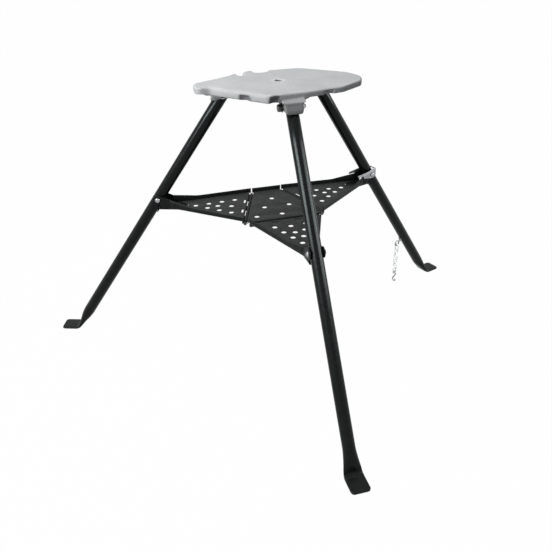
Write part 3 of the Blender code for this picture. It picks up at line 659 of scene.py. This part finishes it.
def keep_main_shell(bm):
    """Delete the crumbs that are not joined to the largest shell of a mesh."""
    left = set(bm.verts)
    shells = []
    while left:
        reach = [left.pop()]
        shell = []
        while reach:
            vert = reach.pop()
            shell.append(vert)
            for edge in vert.link_edges:
                other = edge.other_vert(vert)
                if other in left:
                    left.remove(other)
                    reach.append(other)
        shells.append(shell)
    shells.sort(key=len)
    for shell in shells[:-1]:
        bmesh.ops.delete(bm, geom=shell, context="VERTS")


def make_plate():
    name = "plate_casting"
    tool = plate_tool()
    cut = ("BOOLEAN", {"object": tool, "operation": "DIFFERENCE", "solver": "EXACT"})
    bm = modified(name, welded("top_plate"), cut)
    bpy.data.objects.remove(tool, do_unlink=True)
    for outline in (LUG, SHOULDER):
        flat(bm, [outline], PLATE_LOW, PLATE_TOP, LUG_EDGE, MIDDLE)
    bm = modified(name, finish_mesh(bm, name, CREASE),
                  ("REMESH", {"mode": "VOXEL", "voxel_size": VOXEL, "adaptivity": 0.0}),
                  ("SMOOTH", {"factor": 0.5, "iterations": SMOOTHINGS}))
    keep_main_shell(bm)
    ease_lip(bm)
    round_sockets(bm)
    thinned = ("DECIMATE", {"ratio": KEPT_SHARE})
    bm = modified(name, finish_mesh(bm, name, CAST_CREASE), thinned)
    put(name, bm, Matrix(), "plate", ["top_plate"], CAST, CAST_CREASE)


# Tube legs with flattened feet
KNEE_Z, PINCH_RISE, FOOT_REACH = 0.014, 0.046, 0.059
FOOT_HALF_T = TUBE_WALL + 0.0005
FOOT_HALF = pi * TUBE_R / 2 - TUBE_WALL / 5
LEG_CREASE = 50.0


def eased(rows, steps):
    """Rows of numbers joined by smooth curves that don't overshoot; steps is how many per span."""
    spans = [hypot(b[0] - a[0], b[1] - a[1]) for a, b in zip(rows, rows[1:])]
    columns = []
    for values in zip(*rows):
        slopes = [(b - a) / span for a, b, span in zip(values, values[1:], spans)]
        tangents = [slopes[0]]
        for i in range(1, len(slopes)):
            before, after = slopes[i - 1], slopes[i]
            if before * after <= 0:
                tangents.append(0.0)
                continue
            w1 = 2 * spans[i] + spans[i - 1]
            w2 = spans[i] + 2 * spans[i - 1]
            tangents.append((w1 + w2) / (w1 / before + w2 / after))
        tangents.append(slopes[-1])
        column = []
        for i, span in enumerate(spans):
            for k in range(steps[i]):
                t = k / steps[i]
                a = (1 + 2 * t) * (1 - t) ** 2
                b = t * (1 - t) ** 2
                c = t * t * (3 - 2 * t)
                d = t * t * (t - 1)
                ends = a * values[i] + c * values[i + 1]
                column.append(ends + span * (b * tangents[i] + d * tangents[i + 1]))
        column.append(values[-1])
        columns.append(column)
    return list(zip(*columns))


def section(u, z, fall, half, thick, square, sides=48):
    """A ring across a leg: its middle, its fall, half its width and thickness, how square it is."""
    normal = Vector((sin(fall), 0.0, cos(fall)))
    ring = []
    for k in range(sides):
        c, s = cos(2 * pi * k / sides), sin(2 * pi * k / sides)
        across = half * abs(c) ** (2 / square) * (1 if c >= 0 else -1)
        up = thick * abs(s) ** (2 / square) * (1 if s >= 0 else -1)
        ring.append(Vector((u, across, z)) + normal * up)
    return ring


def leg_rings():
    """Rings along a leg from its open top to its toe, and those of its bore."""
    half, thick = FOOT_HALF, FOOT_HALF_T
    top = Vector((PIVOT_U, 0.0, PIVOT_Z)) - LEG_DIR * TUBE_OVER
    knee_u = leg_u(KNEE_Z)
    tip = knee_u + FOOT_REACH
    down = pi / 2 - LEG_TILT
    pinch, neck, waist = [KNEE_Z + share * PINCH_RISE for share in (1.0, 0.62, 0.30)]
    ease = 0.0008
    rows = (
        (top.x, top.z, down, TUBE_R - 0.0006, TUBE_R - 0.0006, 2.0),
        (top.x + ease * sin(LEG_TILT), top.z - ease * cos(LEG_TILT), down, TUBE_R, TUBE_R, 2.0),
        (leg_u(pinch), pinch, down, TUBE_R, TUBE_R, 2.0),
        (leg_u(neck), neck, down, TUBE_R * 1.11, TUBE_R * 0.87, 2.05),
        (leg_u(waist), waist, down, TUBE_R * 1.27, TUBE_R * 0.63, 2.2),
        (leg_u(KNEE_Z + 0.004), KNEE_Z + 0.003, down * 0.8, TUBE_R * 1.4, TUBE_R * 0.42, 3.0),
        (knee_u + 0.004, KNEE_Z / 2, down * 0.45, half - 0.0008, thick * 1.25, 4.5),
        (knee_u + 0.013, thick + 0.0003, down * 0.06, half, thick, 6.0),
        (knee_u + 0.017, thick, 0.0, half, thick, 6.0),
        (tip - 0.009, thick, 0.0, half, thick, 6.0),
        (tip - 0.0022, thick, 0.0, half - 0.0030, thick, 6.0),
        (tip - 0.0006, thick, 0.0, half - 0.0052, thick - 0.0004, 6.0),
        (tip, thick, 0.0, half - 0.0066, thick - 0.0012, 6.0),
    )
    rings = [section(*row) for row in eased(rows, (1, 8, 4, 4, 4, 4, 3, 1, 2, 3, 2, 1))]
    bore = TUBE_R - TUBE_WALL
    inner = []
    for z in (pinch + TUBE_R, top.z - 0.002, top.z):
        wide = bore + (0.0005 if z == top.z else 0.0)
        inner.append(section(leg_u(z), z, down, wide, wide, 2.0))
    return rings, inner


def make_leg(side):
    leg = "leg_" + side
    bm = bmesh.new()
    rings, inner = leg_rings()
    loft(bm, inner + rings)
    put("leg_tube_" + side, bm, PLACE[side], leg, [leg], ENAMEL, LEG_CREASE)


# Pivot bolts, washers and nuts
BOLT_R, BOLT_BORE, BOLT_PAST = 0.005, 0.0053, 0.0040
HEX_FLATS, HEAD_LOW, HEAD_TOP, NUT_T = 0.017, 0.0020, 0.0120, 0.0065
FLANGE_R, FLANGE_T = 0.0112, 0.0022
WASHER_R, WASHER_T = 0.0105, 0.0016


def make_pivot(side):
    centre = Vector((PIVOT_U, 0.0, PIVOT_Z))
    seat = TUBE_R + 2 * GAP + SOCKET_CHEEK
    washer_top = seat + WASHER_T
    nut_low = washer_top + GAP
    nut_top = nut_low + NUT_T
    end = nut_top + BOLT_PAST
    bolt = bmesh.new()
    flange = ((FLANGE_R - 0.0006, 0.0), (FLANGE_R, 0.0005),
              (FLANGE_R, FLANGE_T - 0.0005), (FLANGE_R - 0.0008, FLANGE_T))
    turn_solid(bolt, centre, [(radius, -seat - depth) for radius, depth in flange])
    hexagon(bolt, centre, HEX_FLATS, -seat - HEAD_LOW, -seat - HEAD_TOP)
    shank = ((BOLT_R, -seat - HEAD_LOW), (BOLT_R, end - 0.0008), (BOLT_R - 0.0008, end))
    turn_solid(bolt, centre, shank)
    washer = bmesh.new()
    collar(washer, centre, BOLT_BORE, WASHER_R, seat, washer_top, (0.0003, 0.0004))
    nut = bmesh.new()
    hexagon(nut, centre, HEX_FLATS, nut_low, nut_top, BOLT_BORE)
    pieces = (("bolt", bolt, STEEL, "dark_steel"), ("washer", washer, ZINC, "zinc"),
              ("nut", nut, ZINC, "zinc"))
    for kind, bm, mat, slot in pieces:
        node = "pivot_%s_%s" % (kind, side)
        put("%s_%s" % (kind, side), bm, PLACE[side], "plate", [node], mat)


# Tray: perforated floors, folded edges, hinge barrels
FLOOR_EDGE = 0.00045
BEND, SEAM = 0.0032, 0.0006
KNUCKLE_R, KNUCKLE_BORE = 0.0045, 0.0028
KNUCKLE_LEN, KNUCKLE_PITCH = 0.030, 0.065
HINGE_HALF, HINGE_LIP = 0.0985, 0.0062
EDGE_HIGH, EDGE_RISE, RISE_LENGTH = 0.0135, 0.0115, 0.068
EAR_R, EAR_HEEL, EAR_TOE = 0.014, WING_END - 0.004, PIN_R - 0.018
HOLE_R, HOLE_TIP = 0.0069, PIN_R - 0.1035
HOLE_ROW, HOLE_SPREAD, HOLE_MIDDLES = 0.0353, 0.01435, (0.0, 0.0625, 0.1015)
CENTRE_ROWS, CENTRE_PITCH = (0.060, 0.006, -0.048), 0.072
SLIT_U, SLIT_V, SLIT_WIDE, SLIT_LONG = HINGE_R + 0.0135, 0.0325, 0.005, 0.022
RIVET_R, RIVET_HIGH, RIVET_SUNK = 0.0042, 0.0022, 0.0004
RIVET_BACK, RIVET_UP = 0.012, 0.011
RIVET_DOME = ((1.0, 0.15), (0.92, 0.5), (0.7, 0.82), (0.35, 0.98), (0.06, 1.0))


def fold(bm, start, along, inward, length, height):
    """A turned-up edge with a rounded bend, its outer face on the line from start."""
    low, soft, steps = TRAY_Z - SHEET, 0.0003, 20
    rings = []
    for k in range(steps + 1):
        run = length * k / steps
        high = height(run)
        profile = arc(BEND, BEND, BEND, -pi / 2, -pi, 5)
        profile += [(0.0, high - 2 * soft), (soft, high - soft / 3), (SHEET / 2, high),
                    (SHEET - soft, high - soft / 3), (SHEET, high - 2 * soft)]
        profile += arc(BEND, BEND, BEND - SHEET, pi, 1.5 * pi, 5)
        base = start + along * run
        rings.append([Vector((*(base + inward * d), low + z)) for d, z in profile])
    loft(bm, rings)


def hinge_edge(bm, spans, side):
    """A sheet's hinge edge: its lip turned down, the barrels and the straps that carry them."""
    centre = Vector((HINGE_R, 0.0, HINGE_Z))
    low, high = HINGE_Z - 0.001, TRAY_Z - SHEET / 2
    near, far = HINGE_R + side * HINGE_LIP, HINGE_R + side * (HINGE_LIP + SHEET)
    standing(bm, oblong(near, low, far, high), -HINGE_HALF, HINGE_HALF, FINE_EDGE)
    root, end = HINGE_R + side * 0.0036, HINGE_R + side * (HINGE_LIP + 0.0005)
    strap = oblong(root, low + 0.0002, end, low + 0.0018)
    for first, last in spans:
        collar(bm, centre, KNUCKLE_BORE, KNUCKLE_R, first, last, (0.0004, 0.0004), 24)
        standing(bm, strap, first + GAP, last - GAP, FINE_EDGE)


def rivet(bm, at, out):
    """A domed rivet head on a face, its rim sunk into it."""
    turn = out.to_track_quat("Z", "Y").to_matrix()
    levels = [(1.0, -RIVET_SUNK)] + [(share, high * RIVET_HIGH) for share, high in RIVET_DOME]
    rings = []
    for share, lift in levels:
        rim = circle(0, 0, RIVET_R * share, 20)
        rings.append([at + turn @ Vector((a, b, lift)) for a, b in rim])
    loft(bm, rings)


def rounded_slot(u, v, wide, long):
    """A slot across the wing with round ends."""
    half = wide / 2
    reach = long / 2 - half
    return arc(u, v + reach, half, 0.0, pi, 8) + arc(u, v - reach, half, pi, 2 * pi, 8)


def wing_floor(bm):
    start, end = HINGE_R + HINGE_LIP, WING_END - 0.0015
    slot = EAR_IN - 0.0001
    back = (BEND - 0.0003) / cos(EDGE_TURN)
    wide = edge_half(start) - back
    narrow = max(edge_half(end) - back, slot + 0.0006)
    outline = [(start, wide), (start, -wide), (end, -narrow), (end, -slot)]
    outline += arc(SLOT_END + slot, 0.0, slot, -pi / 2, -1.5 * pi, 24)
    outline += [(end, slot), (end, narrow)]
    spots = [(HOLE_TIP - step, 0.0) for step in HOLE_MIDDLES]
    for row in (1, 2, 3):
        spots += [(HOLE_TIP - row * HOLE_ROW, side * row * HOLE_SPREAD) for side in (1, -1)]
    holes = [circle(u, v, HOLE_R, 36) for u, v in spots]
    holes += [rounded_slot(SLIT_U, v, SLIT_WIDE, SLIT_LONG) for v in (-SLIT_V, SLIT_V)]
    flat(bm, [outline, *holes], TRAY_Z - SHEET, TRAY_Z, FLOOR_EDGE)
    inner = KNUCKLE_LEN / 2
    outer = KNUCKLE_PITCH - inner
    hinge_edge(bm, ((-HINGE_HALF, -outer), (-inner, inner), (outer, HINGE_HALF)), 1)


def ear_outline():
    """An ear in X and Z: up its heel, round the pivot and back to the floor."""
    low = TRAY_Z - SHEET
    root, top = low + 0.0006, low + EDGE_HIGH + EDGE_RISE
    base = atan2(top - PIN_Z, EAR_HEEL - PIN_R)
    start = base - acos(EAR_R / hypot(PIN_R - EAR_HEEL, PIN_Z - top))
    if start < 0:
        start += 2 * pi
    points = [(EAR_HEEL, root), (EAR_HEEL, top - 0.0005)]
    points += arc(PIN_R, PIN_Z, EAR_R, start, -pi / 2 - 0.25, 28)
    points.append((EAR_TOE, root))
    return points


def wing_edges(bm):
    length = (WING_END + 0.0005 - HINGE_R) / cos(EDGE_TURN)
    first = (SEAM + 0.0016) / cos(EDGE_TURN)
    rise_from = (WING_END - RISE_LENGTH - HINGE_R) / cos(EDGE_TURN)

    def height(run):
        share = max(0.0, (first + run - rise_from) / (length - rise_from))
        return EDGE_HIGH + EDGE_RISE * share

    for side in (1, -1):
        along = Vector((cos(EDGE_TURN), -side * sin(EDGE_TURN)))
        inward = Vector((-sin(EDGE_TURN), -side * cos(EDGE_TURN)))
        corner = Vector((HINGE_R, side * WING_HALF))
        fold(bm, corner + along * first, along, inward, length - first, height)
        low, high = sorted((side * EAR_IN, side * EAR_OUT))
        standing(bm, ear_outline(), low, high, EDGE)
        spot = corner + along * (length - RIVET_BACK)
        rivet(bm, Vector((*spot, TRAY_Z + RIVET_UP)), Vector((*-inward, 0.0)))


def make_wing(side):
    nodes = ["tray_wing_" + side]
    body = "wing_" + side
    bm = bmesh.new()
    wing_floor(bm)
    put("wing_floor_" + side, bm, PLACE[side], body, nodes, FLOOR_PAINT)
    bm = bmesh.new()
    wing_edges(bm)
    put("wing_edges_" + side, bm, PLACE[side], body, nodes, EDGE_PAINT)


def make_centre():
    half = WING_HALF - 0.001
    c, s = cos(REAR_AZ), sin(REAR_AZ)
    front = HINGE_R - HINGE_LIP
    seam = HINGE_R - SEAM
    rear = seam * s + half * c - 0.0005
    floor_end = rear - BEND + 0.0003
    right = [(half, -front), (front * c + half * s, front * s - half * c),
             ((front - floor_end * s) / c, floor_end)]
    outline = right + [(-x, y) for x, y in reversed(right)]
    holes = []
    for row, y in enumerate(CENTRE_ROWS):
        holes += [circle((k - row / 2) * CENTRE_PITCH, y, HOLE_R, 36) for k in range(row + 1)]
    bm = bmesh.new()
    flat(bm, [outline, *holes], TRAY_Z - SHEET, TRAY_Z, FLOOR_EDGE)
    inner = KNUCKLE_LEN / 2 + 0.0005
    outer = KNUCKLE_PITCH - inner
    for turn in AZIMUTH.values():
        made = bmesh.new()
        hinge_edge(made, ((-outer, -inner), (inner, outer)), -1)
        bmesh.ops.transform(made, matrix=Matrix.Rotation(turn, 4, "Z"), verts=made.verts[:])
        mesh = bpy.data.meshes.new("hinge_edge")
        made.to_mesh(mesh)
        made.free()
        bm.from_mesh(mesh)
        bpy.data.meshes.remove(mesh)
    put("centre_floor", bm, MIDDLE, "tray", ["tray_centre"], FLOOR_PAINT)
    bm = bmesh.new()
    reach = seam * c - half * s - 0.0008
    corner = Vector((-reach, rear))
    fold(bm, corner, Vector((1, 0)), Vector((0, -1)), 2 * reach, lambda run: EDGE_HIGH)
    put("centre_edges", bm, MIDDLE, "tray", ["tray_centre"], EDGE_PAINT)


# Hinge rods with domed heads
ROD_R, ROD_HEAD_R, ROD_HEAD_T = 0.0025, 0.0042, 0.0030


def make_hinge_pin(side):
    centre = Vector((HINGE_R, 0.0, HINGE_Z))
    head = HINGE_HALF + GAP
    reach = head + ROD_HEAD_T
    half = ((0.0020, reach), (ROD_HEAD_R - 0.0006, reach - 0.0004),
            (ROD_HEAD_R, reach - 0.0011), (ROD_HEAD_R, head), (ROD_R, head))
    profile = [(radius, -y) for radius, y in half] + list(reversed(half))
    bm = bmesh.new()
    turn_solid(bm, centre, profile, 20)
    nodes = ["hinge_pin_" + side]
    put("hinge_rod_" + side, bm, PLACE[side], "tray", nodes, STEEL)


# Screws at the tray's noses, each crown given by its radius and its depth below the top
SCREW_R, SCREW_HEAD_R, SCREW_HEAD_T = 0.0040, 0.0068, 0.0045
SCREW_CROWN = ((0.0012, 0.0011), (0.0024, 0.0010), (0.0028, 0.0001), (0.0040, 0.0002),
               (0.0055, 0.0009), (0.0064, 0.0020), (SCREW_HEAD_R, 0.0034))
STRAP_T = 0.0025


def make_screw(side, near):
    centre = Vector((PIN_R, 0.0, PIN_Z))
    toward = 1 if side == "left" else -1
    if not near:
        toward = -toward
    seat = EAR_OUT + GAP
    if side == "right":
        seat += STRAP_T + GAP
    top = seat + SCREW_HEAD_T
    profile = [(radius, top - depth) for radius, depth in SCREW_CROWN]
    profile += [(SCREW_HEAD_R, seat + 0.0003), (SCREW_HEAD_R - 0.0002, seat),
                (SCREW_R, seat), (SCREW_R, TUBE_R + GAP)]
    bm = bmesh.new()
    turn_solid(bm, centre, [(radius, toward * y) for radius, y in profile])
    kind = "near" if near else "far"
    mat, slot = (ZINC, "zinc") if near else (STEEL, "dark_steel")
    nodes = ["tray_screw_%s_%s" % (side, kind)]
    put("screw_%s_%s" % (side, kind), bm, PLACE[side], "wing_" + side, nodes, mat)


# The rest on each leg: a shelf with its leaf, and a pad that stands in the slot of the nose
REST_T, REST_GAP = 0.0025, 0.0022
LEAF_LONG, LEAF_HALF = 0.013, 0.010
SHELF_END, PAD_END = SLOT_END + 0.004, SLOT_END + 0.0011


def make_rest(side):
    top = TRAY_Z - SHEET - REST_GAP
    low, foot = top - REST_T, top - LEAF_LONG
    face = (TUBE_R + GAP) / cos(LEG_TILT)
    back = face + REST_T / cos(LEG_TILT)
    upper, lower = leg_u(top), leg_u(foot)
    shelf = [(SHELF_END, top), (upper - face, top), (leg_u(low) - face, low), (SHELF_END, low)]
    leaf = [(upper - face, top), (lower - face, foot), (lower - back, foot), (upper - back, top)]
    wide = TUBE_R
    bm = bmesh.new()
    standing(bm, shelf, -wide, wide, FINE_EDGE)
    standing(bm, leaf, -LEAF_HALF, LEAF_HALF, FINE_EDGE)
    far = leg_u(TRAY_Z) - (TUBE_R + 0.0016) / cos(LEG_TILT)
    pad = [(far, wide), (far, -wide)] + arc(PAD_END + wide, 0.0, wide, -pi / 2, -1.5 * pi, 24)
    flat(bm, [pad], top - 0.0003, TRAY_Z - 0.0004, EDGE)
    nodes = ["tray_rest_" + side]
    put("rest_" + side, bm, PLACE[side], "leg_" + side, nodes, EDGE_PAINT)


# Strap at the right leg, softened along its edges
def make_strap():
    bevel = {"width": EDGE, "segments": 2, "limit_method": "ANGLE",
             "angle_limit": radians(40.0), "use_clamp_overlap": True}
    bm = modified("strap", welded("leg_strap"), ("BEVEL", bevel))
    put("strap", bm, Matrix(), "wing_right", ["leg_strap"], ZINC)


# Chain
WIRE_R, WIRE_CREASE = 0.0022, 60.0
EYE_R, EYE_STEM, BITE = 0.008, 0.008, 0.0048
PAD_T, PAD_ROUND, PAD_U, PAD_V = 0.0025, 0.003, 0.006, 0.003
LINK_BEND, LINK_STRAIGHT, LINK_COUNT, HOOK_BEND = 0.0065, 0.0095, 6, 0.006
LINK_STEP = LINK_STRAIGHT + 2 * LINK_BEND - BITE


def in_plane(u, points, across):
    """Points across the leg or along it, in the upright plane at u."""
    return [Vector((u, w, z)) if across else Vector((u + w, 0.0, z)) for w, z in points]


def make_chain():
    place = PLACE["right"]
    centre = place.inverted() @ Vector(JOINTS["chain_swing"]["pos_m"])
    top = centre.z - EYE_R + BITE
    for i in range(LINK_COUNT):
        upper = top - i * LINK_STEP - LINK_BEND
        points = arc(0.0, upper, LINK_BEND, 0.0, pi, 14)
        points += arc(0.0, upper - LINK_STRAIGHT, LINK_BEND, pi, 2 * pi, 14)
        bm = bmesh.new()
        tube(bm, in_plane(centre.x, points, i % 2 == 0), WIRE_R, closed=True)
        name, nodes = "wire_link_%d" % (i + 1), ["chain_link_%d" % (i + 1)]
        put(name, bm, place, "chain", nodes, PALE_ZINC, WIRE_CREASE)
    upper = top - LINK_COUNT * LINK_STEP - HOOK_BEND
    lower = upper - HOOK_BEND - 2 * HOOK_BEND * cos(pi / 6) * tan(pi / 3)
    points = arc(0.0, upper, HOOK_BEND, radians(-40), radians(210), 24)
    points += arc(0.0, lower, HOOK_BEND, radians(30), radians(-190), 24)
    bm = bmesh.new()
    tube(bm, in_plane(centre.x, points, LINK_COUNT % 2 == 0), WIRE_R)
    put("s_hook", bm, place, "chain", ["chain_hook"], ZINC, WIRE_CREASE)
    make_eye(place, centre)


def make_eye(place, centre):
    """The eye under the right leg: a pad on the tube, a stem and a ring."""
    pad_in = TUBE_R + GAP
    pad_out = pad_in + PAD_T
    base = centre + LEG_OUT * (pad_out + EYE_STEM + EYE_R)
    along = Matrix(((LEG_DIR.x, 0, LEG_OUT.x), (0, 1, 0), (LEG_DIR.z, 0, LEG_OUT.z))).to_4x4()
    along.translation = base
    corners = []
    for k, (u, v) in enumerate(((1, 1), (-1, 1), (-1, -1), (1, -1))):
        corners += arc(u * PAD_U, v * PAD_V, PAD_ROUND, k * pi / 2, (k + 1) * pi / 2, 6)
    bm = bmesh.new()
    inset = Matrix.Translation((0, 0, -(pad_in + pad_out) / 2))
    sheet(bm, [corners], PAD_T, along @ inset, EDGE)
    stem = [base - LEG_OUT * (pad_out + d) for d in (-0.001, EYE_STEM / 2, EYE_STEM)]
    tube(bm, stem, WIRE_R * 1.2)
    ring = [centre + LEG_DIR * (EYE_R * c) + LEG_OUT * (EYE_R * s) for c, s in circle(0, 0, 1, 32)]
    tube(bm, ring, WIRE_R, closed=True)
    put("eye_bolt", bm, place, "leg_right", ["chain_eye"], ZINC)


make_plate()
make_centre()
for spoke in AZIMUTH:
    make_leg(spoke)
    make_pivot(spoke)
    make_wing(spoke)
    make_hinge_pin(spoke)
    make_screw(spoke, True)
    make_screw(spoke, False)
    make_rest(spoke)
make_strap()
make_chain()
